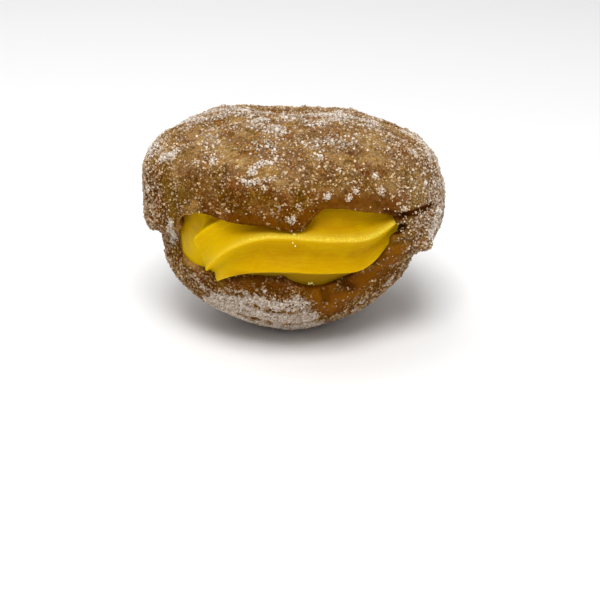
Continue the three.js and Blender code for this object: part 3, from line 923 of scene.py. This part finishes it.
def make_egg_cream():
    """Egg cream: glossy yellow, with a painted highlight along its upper crests, painted shade on its
    underside, and streaked lengthwise by the nozzle.
    """
    material, tree, shader = blank_material("egg_cream")
    place = add_node(tree, "ShaderNodeTexCoord").outputs["Object"]
    around = painted(tree, "around")
    along = painted(tree, "along")
    crest = painted(tree, "crest")

    def times(first, second):
        return calculate(tree, "MULTIPLY", first, second)

    lines = {"X": times(around, DRAG_LINES["across"]), "Y": times(along, DRAG_LINES["along"])}
    drawn_out = add_node(tree, "ShaderNodeCombineXYZ", lines).outputs[0]
    pattern = {"Vector": drawn_out, "Scale": 1.0, "Detail": DRAG_LINES["detail"]}
    drag = add_node(tree, "ShaderNodeTexNoise", pattern).outputs["Fac"]
    side = calculate(tree, "SINE", times(around, float(ROPE["crests"])))
    # A painted highlight on the upper side of the upper crests, grainy along the rope
    painted_highlight = times(calculate(tree, "POWER", crest, HIGHLIGHT_SHARPNESS), between(tree, side, *UPPER_SIDE))
    painted_highlight = times(painted_highlight, between(tree, around, *CREAM_PARTS["upper_crests"]))
    painted_highlight = times(painted_highlight, between(tree, along, *CREAM_PARTS["past_left_end"]))
    speckle = add_grains(tree, place, SPECKLE["size"], SPECKLE["share"])["Tint"]
    highlight_grain = calculate(tree, "ADD", calculate(tree, "POWER", speckle, SPECKLE["rare"]), drag)
    masks = dict(
        pale=blotches(tree, place, *CREAM_PATCHES),
        # Lighter and more lemon on the crests; the deep yellow left in the flutes is partly painted shade
        crest=crest,
        left_end=between(tree, along, *CREAM_PARTS["left_end"]),
        painted_highlight=times(painted_highlight, highlight_grain),
        speckle=times(speckle, SPECKLE["dark"]),
        streaks=between(tree, drag, *STREAKS),
        # Painted shade on the rope's underside
        underside=between(tree, around, *CREAM_PARTS["underside"]),
        thin_cream_and_shade=painted(tree, "thin_cream_and_shade"),
        smear_and_painted_light=painted(tree, "smear_and_painted_light"),
    )
    tone = colour(*CREAM_TONES["deep"])
    for name, mask in masks.items():
        tone = mix_colour(tree, mask, tone, colour(*CREAM_TONES[name]))
    tree.links.new(tone, shader.inputs["Base Color"])
    shader.inputs["Roughness"].default_value = CREAM_GLOSS["roughness"]
    shader.inputs["Specular IOR Level"].default_value = CREAM_GLOSS["specular"]
    shader.inputs["Subsurface Weight"].default_value = CREAM_GLOW["weight"]
    shader.inputs["Subsurface Radius"].default_value = CREAM_GLOW["radius"]
    shader.inputs["Subsurface Scale"].default_value = CREAM_GLOW["scale"] * MM
    depth = {"Strength": CREAM_RELIEF["strength"], "Distance": CREAM_RELIEF["height"] * MM, "Height": drag}
    tree.links.new(add_node(tree, "ShaderNodeBump", depth).outputs["Normal"], shader.inputs["Normal"])
    return material


egg_cream = make_egg_cream()
cream = place_object("cream_rope", bpy.data.meshes.new("cream_rope"))
piping = cream.modifiers.new("piping", "NODES")
piping.node_group = make_rope_tree()
rope_inputs = {name: float(value * (MM if name in ROPE_LENGTHS else 1)) for name, value in ROPE.items()}
set_inputs(piping, {**rope_inputs, "Finish": egg_cream})
settle(cream)

# The cream behind the rope fills the slit out to a plain round front that stays inside the bun
FILLING = dict(middle_x=-1.5, half_width=40, half_depth=38, low=10, high=66, columns=160, rows=40)
# How far it presses into the slit's wall, at the left and at the right
SQUEEZE = (1.5, 0.3)
SHARP_CREST = math.radians(38)
# Where the cream thins out over the lower lip and turns darker, partly as painted shade under the rope: from
# and to heights above the slit's floor, and along the slit
THIN_CREAM = dict(above_floor=(3.2, 0.2), along=(-22, -14))
# Crystals that fell on the cream: pixel, radius and how close they lie
FALLEN_SUGAR = [
    ((254, 242), 0.4, 1), ((294, 234), 0.6, 1), ((294, 244), 0.6, 1), ((310, 284), 0.8, 1),
    ((264, 243), 0.35, 1),
]
# A paler, drier smear of cream in the corner beside the rope's left end, partly painted light in that recess
SMEAR = [(190, 220), (197, 224), (190, 234), (187, 246)]
SMEAR_WIDTH = 2
SMEAR_STRENGTH = 0.8
SMEAR_BREAKS = dict(size=1.5, seed=2, middle=0.6, contrast=1)


def make_filling():
    """An upright round block as wide and deep as the filling."""
    tall = FILLING["high"] - FILLING["low"]
    shape = bmesh.new()
    bmesh.ops.create_cone(shape, cap_ends=True, segments=FILLING["columns"], radius1=1, radius2=1, depth=tall)
    uprights = [edge for edge in shape.edges if edge.verts[0].co.z != edge.verts[1].co.z]
    bmesh.ops.subdivide_edges(shape, edges=uprights, cuts=FILLING["rows"])
    bmesh.ops.scale(shape, vec=(FILLING["half_width"], FILLING["half_depth"], 1), verts=shape.verts)
    middle = (FILLING["middle_x"], 0, (FILLING["low"] + FILLING["high"]) / 2)
    bmesh.ops.translate(shape, vec=middle, verts=shape.verts)
    bmesh.ops.scale(shape, vec=(MM, MM, MM), verts=shape.verts)
    mesh = bpy.data.meshes.new("filling")
    shape.to_mesh(mesh)
    shape.free()
    return place_object("filling", mesh)


def filled_points(direction):
    """The slit's wall, passed a little by the cream that presses into it, more at the left."""
    grow = np.interp(direction[:, 2], (-1, 1), SQUEEZE)
    return slit_points(direction[:, POLES_AT_ENDS], grow)


filling = make_filling()
filled_slit = ball_of("filled_slit", filled_points, columns=120, rows=100)
cut_or_join(filled_slit, filling, "INTERSECT")
cut_or_join(cream, filled_slit, "UNION")
cream_mesh = settle(cream, [filled_slit, filling])
cream_mesh.shade_smooth()
cream_mesh.set_sharp_from_angle(angle=SHARP_CREST)
spots = read_points(cream_mesh) / MM
cream_surface = BVHTree.FromObject(cream, bpy.context.evaluated_depsgraph_get())
spots_x, _, spots_z = spots.T
slit_floor = slit_middle(spots_x) - slit_height(spots_x, np.zeros(len(spots), bool))
# Darker where the cream thins over the lower lip, partly painted shade under the rope
thin_cream_and_shade = ramp(spots_z - slit_floor, *THIN_CREAM["above_floor"]) * ramp(spots_x, *THIN_CREAM["along"])
# A paler smear in the recess by the rope's left end, partly painted light
smear_with_light = SMEAR_STRENGTH * near_line(spots, SMEAR, SMEAR_WIDTH, cream_surface) * patchy(spots, SMEAR_BREAKS)
paint(cream_mesh, "thin_cream_and_shade", thin_cream_and_shade)
paint(cream_mesh, "heap", strongest(spots, cream_surface, as_lines(FALLEN_SUGAR)))
paint(cream_mesh, "frost", np.zeros(len(spots)))
paint(cream_mesh, "clear", np.ones(len(spots)))
paint(cream_mesh, "smear_and_painted_light", smear_with_light)
cream_mesh.materials.clear()
cream_mesh.materials.append(egg_cream)
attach(cream, "root")
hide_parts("cream")

# The sugar. The hot bun is rolled in granulated sugar: clear crystals stick singly all over the crust, and in
# clumps where the crust was moist. Each crystal is a small block with its own size, turn and clearness.

# Kinds of crystals: the painted values that place them, the most to a square millimetre, their sizes, how
# high they stack, how rare bright ones are, and the seed
SUGAR_KINDS = dict(
    sugar_soaked=dict(where="sugar", most=1.2, smallest=0.32, largest=0.52, stack=0.1, rare=2.4, seed=5),
    sugar_fine=dict(where="sugar", most=0.8, smallest=0.28, largest=0.46, stack=0.2, rare=1.8, seed=3),
    sugar_coarse=dict(where="sugar", most=0.62, smallest=0.45, largest=0.76, stack=0.2, rare=1.5, seed=11),
    sugar_clumps=dict(where="heap", most=8, smallest=0.32, largest=0.62, stack=0.7, rare=0.8, seed=29),
    sugar_on_cream=dict(where="heap", most=3.5, smallest=0.26, largest=0.46, stack=0.1, rare=0.5, seed=41),
)
# The sides of a crystal's block in shares of its size, its turns, and what is added to the seed for each draw
BLOCK_SIDES = ((0.7, 0.7, 0.7), (1.1, 1.1, 1.1))
BLOCK_TURNS = ((0, 0, 0), (6.28, 6.28, 6.28))
DRAWS = dict(stack=1, sides=2, size=3, turn=4, light=5)
# How far the dullest and the brightest clear crystals turn from the colour below to their own bright one
GLINT = {"To Min": 0.1, "To Max": 0.95}
BRIGHT_ON_CRUST = colour(228, 194, 146)
BRIGHT_ON_CREAM = colour(255, 240, 170)
CREAM_BELOW = colour(232, 190, 40)
WHITE_SUGAR = (colour(148, 120, 90), colour(238, 230, 220))
SUGAR_GLOSS = dict(roughness=0.2, specular=0.15)


def make_sugar(name, seen_through, bright):
    """Sugar crystals: clear ones show the colour that they lie on, and those in clumps are white."""
    material, tree, shader = blank_material(name)
    light = painted(tree, "light")
    place = add_node(tree, "ShaderNodeTexCoord").outputs["Object"]
    glint = add_node(tree, "ShaderNodeMapRange", {"Value": light, **GLINT}).outputs["Result"]
    soaked = mix_colour(tree, glint, seen_through(tree, place), bright)
    white = mix_colour(tree, light, *WHITE_SUGAR)
    tone = mix_colour(tree, painted(tree, "frost"), soaked, white)
    tree.links.new(tone, shader.inputs["Base Color"])
    shader.inputs["Roughness"].default_value = SUGAR_GLOSS["roughness"]
    shader.inputs["Specular IOR Level"].default_value = SUGAR_GLOSS["specular"]
    return material


def make_scatter_tree():
    """Geometry nodes that stick crystals to a surface, as many and as high as its painted values say."""
    tree = bpy.data.node_groups.new("sugar_scatter", "GeometryNodeTree")
    tree.interface.new_socket("Surface", in_out="INPUT", socket_type="NodeSocketGeometry")
    for name, kind in (
        ("Where", "String"), ("Most", "Float"), ("Smallest", "Float"), ("Largest", "Float"),
        ("Stack", "Float"), ("Rare", "Float"), ("Seed", "Int"), ("Finish", "Material"),
    ):
        tree.interface.new_socket(name, in_out="INPUT", socket_type="NodeSocket" + kind)
    tree.interface.new_socket("Crystals", in_out="OUTPUT", socket_type="NodeSocketGeometry")
    given = tree.nodes.new("NodeGroupInput").outputs

    def draw(what, lowest, highest, kind="FLOAT"):
        """A random value for each crystal."""
        seed = calculate(tree, "ADD", given["Seed"], float(DRAWS[what]))
        random = add_node(tree, "FunctionNodeRandomValue", {"Seed": seed}, data_type=kind)
        names = ("Min", "Max") if kind == "FLOAT_VECTOR" else ("Min_001", "Max_001")
        for name, value in zip(names, (lowest, highest)):
            socket = next(s for s in random.inputs if s.identifier == name)
            if isinstance(value, bpy.types.NodeSocket):
                tree.links.new(value, socket)
            else:
                socket.default_value = value
        return random.outputs[0 if kind == "FLOAT_VECTOR" else 1]

    def stretch(vector, by):
        return add_node(tree, "ShaderNodeVectorMath", {0: vector, "Scale": by}, operation="SCALE").outputs[0]

    where = add_node(tree, "GeometryNodeInputNamedAttribute", {"Name": given["Where"]}).outputs[0]
    density = calculate(tree, "MULTIPLY", where, given["Most"])
    ground = {"Mesh": given["Surface"], "Density": density, "Seed": given["Seed"]}
    spread = add_node(tree, "GeometryNodeDistributePointsOnFaces", ground).outputs
    height = calculate(tree, "MULTIPLY", where, draw("stack", 0.0, given["Stack"]))
    heaped = {"Geometry": spread["Points"], "Offset": stretch(spread["Normal"], height)}
    stacked = add_node(tree, "GeometryNodeSetPosition", heaped).outputs[0]
    sides = draw("sides", *BLOCK_SIDES, "FLOAT_VECTOR")
    size = stretch(sides, draw("size", given["Smallest"], given["Largest"]))
    turns = draw("turn", *BLOCK_TURNS, "FLOAT_VECTOR")
    spin = add_node(tree, "FunctionNodeEulerToRotation", {"Euler": turns}).outputs[0]
    block = add_node(tree, "GeometryNodeMeshCube", {"Size": (1, 1, 1)}).outputs["Mesh"]
    stuck = {"Points": stacked, "Instance": block, "Rotation": spin, "Scale": size}
    crystals = add_node(tree, "GeometryNodeInstanceOnPoints", stuck).outputs[0]
    clear = add_node(tree, "GeometryNodeInputNamedAttribute", {"Name": "clear"}).outputs[0]
    light = calculate(tree, "POWER", draw("light", 0.0, 1.0), given["Rare"])
    shown = {"Geometry": crystals, "Name": "light", "Value": calculate(tree, "MULTIPLY", light, clear)}
    crystals = add_node(tree, "GeometryNodeStoreNamedAttribute", shown, domain="INSTANCE").outputs[0]
    crystals = add_node(tree, "GeometryNodeRealizeInstances", {"Geometry": crystals}).outputs[0]
    coated = {"Geometry": crystals, "Material": given["Finish"]}
    crystals = add_node(tree, "GeometryNodeSetMaterial", coated).outputs[0]
    tree.links.new(crystals, tree.nodes.new("NodeGroupOutput").inputs["Crystals"])
    return tree


sugar_scatter = make_scatter_tree()
crust_sugar = make_sugar("granulated_sugar", crust_tone, BRIGHT_ON_CRUST)
cream_sugar = make_sugar("fallen_sugar", lambda tree, place: CREAM_BELOW, BRIGHT_ON_CREAM)
for name, kind in SUGAR_KINDS.items():
    on_cream = name == "sugar_on_cream"
    carrier = cream_mesh if on_cream else dough
    crystals = place_object(name, carrier.copy())
    scatter = crystals.modifiers.new("scatter", "NODES")
    scatter.node_group = sugar_scatter
    set_inputs(
        scatter,
        {
            "Where": kind["where"],
            "Most": kind["most"] / MM**2,
            "Smallest": kind["smallest"] * MM,
            "Largest": kind["largest"] * MM,
            "Stack": kind["stack"] * MM,
            "Rare": float(kind["rare"]),
            "Seed": kind["seed"],
            "Finish": cream_sugar if on_cream else crust_sugar,
        },
    )
    settle(crystals)
    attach(crystals, "root")

# The table, the light and the sizes. A plain white table under a large soft light from above, with the white
# of the room all round, so that shadows stay soft and pale.
TABLE_REACH = 3.0
TABLE_TONE = colour(246, 246, 246)
TABLE_ROUGHNESS = 0.9
# Soft lights: name, place and size in metres, and power in watts
LIGHTS = [
    ("key", (-0.02, -0.55, 0.95), 0.5, 9.2),
    ("top", (-0.3, 0.3, 0.9), 0.8, 2.7),
    ("front", (-0.1, -0.9, 0.5), 0.6, 0.9),
]
ROOM_LIGHT = 0.42

corners = [(-TABLE_REACH, -TABLE_REACH, 0), (TABLE_REACH, -TABLE_REACH, 0)]
corners += [(TABLE_REACH, TABLE_REACH, 0), (-TABLE_REACH, TABLE_REACH, 0)]
table_mesh = bpy.data.meshes.new("table")
table_mesh.from_pydata(corners, [], [(0, 1, 2, 3)])
table = place_object("table", table_mesh)
table_finish, _, table_shader = blank_material("white_table")
table_shader.inputs["Base Color"].default_value = TABLE_TONE
table_shader.inputs["Roughness"].default_value = TABLE_ROUGHNESS
table_mesh.materials.append(table_finish)
for name, place, size, power in LIGHTS:
    lamp = bpy.data.lights.new(name, "AREA")
    lamp.size = size
    lamp.energy = power
    light = place_object(name, lamp)
    light.location = place
    light.rotation_euler = (VIEW_AIM - Vector(place)).to_track_quat("-Z", "Y").to_euler()
world = bpy.data.worlds.new("studio")
scene.world = world
world.use_nodes = True
background = world.node_tree.nodes["Background"]
background.inputs["Color"].default_value = (1, 1, 1, 1)
background.inputs["Strength"].default_value = ROOM_LIGHT
